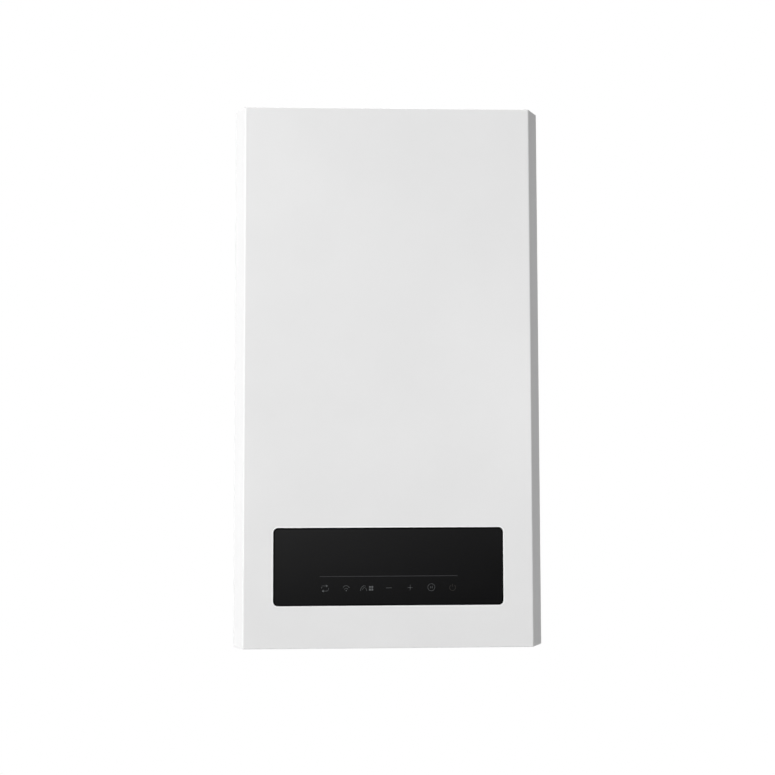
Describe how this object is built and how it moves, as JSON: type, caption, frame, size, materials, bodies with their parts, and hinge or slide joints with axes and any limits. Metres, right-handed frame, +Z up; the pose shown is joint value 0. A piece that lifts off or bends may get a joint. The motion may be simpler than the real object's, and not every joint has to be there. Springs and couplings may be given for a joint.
{
  "type": "combination boiler",
  "caption": "Wall-hung gas combination boiler with a white steel casing, black glass touch panel, opening front cover, hinged control box and working parts inside.",
  "frame": {"origin": "middle of the hanging bracket's rear face, on the wall, 40 mm below the casing's top edge", "axes": "+Z up; +Y into the wall, so the front faces -Y; +X to the right seen from the front"},
  "size_m": [0.399, 0.3, 0.751],
  "materials": {
    "white_paint": "semi-gloss powder coat",
    "galvanised_steel": "galvanised, matt",
    "stainless_steel": "mill finish",
    "cast_aluminium": "as cast",
    "copper": "bare, lightly oxidised",
    "brass": "machined",
    "red_paint": "semi-gloss paint",
    "black_plastic": "matt, glass-filled",
    "grey_plastic": "fine grain",
    "red_plastic": "satin",
    "white_plastic": "satin",
    "rubber": "matt",
    "black_glass": "polished, back-printed black",
    "sight_glass": "polished",
    "ceramic": "glazed",
    "fibre_board": "soft fibre",
    "circuit_board": "solder resist",
    "dark_board": "black solder resist"
  },
  "bodies": {
    "chassis": {"wall_bracket": "galvanised_steel", "rear_panel": "galvanised_steel", "left_side_panel": "white_paint", "right_side_panel": "white_paint", "top_panel": "white_paint", "bottom_panel": "white_paint", "divider_panel": "galvanised_steel", "cable_gland": "black_plastic", "flue_adaptor": "cast_aluminium", "flue_gasket": "rubber", "exhaust_duct": "cast_aluminium", "fan_housing": "cast_aluminium", "fan_motor": "stainless_steel", "air_pressure_switch": "black_plastic", "pressure_hose": "rubber", "flue_hood": "stainless_steel", "heat_exchanger": "copper", "overheat_thermostat": "black_plastic", "combustion_chamber": "stainless_steel", "chamber_front": "stainless_steel", "chamber_insulation": "fibre_board", "sight_glass": "sight_glass", "burner": "stainless_steel", "burner_manifold": "cast_aluminium", "electrode_set": "ceramic", "ignition_lead": "red_plastic", "expansion_vessel": "red_paint", "vessel_hose": "stainless_steel", "gas_valve": "cast_aluminium", "gas_pipe": "copper", "gas_tail": "brass", "pump_volute": "black_plastic", "pump_motor": "black_plastic", "air_vent": "brass", "flow_block": "brass", "plate_heat_exchanger": "stainless_steel", "diverter_motor": "white_plastic", "flow_sensor": "black_plastic", "safety_valve": "brass", "flow_pipe": "copper", "return_pipe": "copper", "heating_flow_tail": "brass", "hot_water_tail": "brass", "cold_water_tail": "brass", "heating_return_tail": "brass", "gauge_body": "black_plastic"},
    "cover": {"front_cover": "white_paint", "cover_screw": "stainless_steel"},
    "control_box": {"control_housing": "grey_plastic", "control_lid": "grey_plastic", "touch_glass": "black_glass", "display_board": "dark_board", "main_board": "circuit_board"},
    "fan_rotor": {"fan_wheel": "stainless_steel"},
    "pump_rotor": {"pump_impeller": "white_plastic"},
    "flow_rotor": {"flow_turbine": "white_plastic"},
    "diverter_stem": {"diverter_spindle": "stainless_steel"},
    "relief_knob": {"safety_knob": "red_plastic"},
    "filling_tap": {"filling_knob": "black_plastic"},
    "gauge_pointer": {"gauge_needle": "red_plastic"}
  },
  "joints": [
    {"name": "cover_slide", "type": "slide", "parent": "chassis", "child": "cover", "axis": [0, -1, 0], "range_m": [0, 0.4]},
    {"name": "control_box_hinge", "type": "hinge", "parent": "chassis", "child": "control_box", "pos_m": [0, -0.262, -0.638], "axis": [1, 0, 0], "range_deg": [0, 90]},
    {"name": "fan_spin", "type": "hinge", "parent": "chassis", "child": "fan_rotor", "pos_m": [-0.051, -0.166, -0.085], "axis": [0, 1, 0], "continuous": true},
    {"name": "pump_spin", "type": "hinge", "parent": "chassis", "child": "pump_rotor", "pos_m": [0.12, -0.11, -0.545], "axis": [0, 1, 0], "continuous": true},
    {"name": "turbine_spin", "type": "hinge", "parent": "chassis", "child": "flow_rotor", "pos_m": [0.065, -0.095, -0.62], "axis": [0, 0, 1], "continuous": true},
    {"name": "diverter_slide", "type": "slide", "parent": "chassis", "child": "diverter_stem", "axis": [0, -1, 0], "range_m": [0, 0.008]},
    {"name": "relief_turn", "type": "hinge", "parent": "chassis", "child": "relief_knob", "pos_m": [0.097, -0.148, -0.609], "axis": [0, 1, 0], "range_deg": [0, 90]},
    {"name": "filling_turn", "type": "hinge", "parent": "chassis", "child": "filling_tap", "pos_m": [0.097, -0.095, -0.66], "axis": [0, 0, 1], "range_deg": [0, 270]},
    {"name": "gauge_swing", "type": "hinge", "parent": "chassis", "child": "gauge_pointer", "pos_m": [-0.097, -0.15, -0.662], "axis": [0, 0, 1], "range_deg": [0, 270]}
  ],
  "couplings": [
    {"joint": "control_box_hinge", "follows": "cover_slide", "rad_per_m": 3.926}
  ]
}
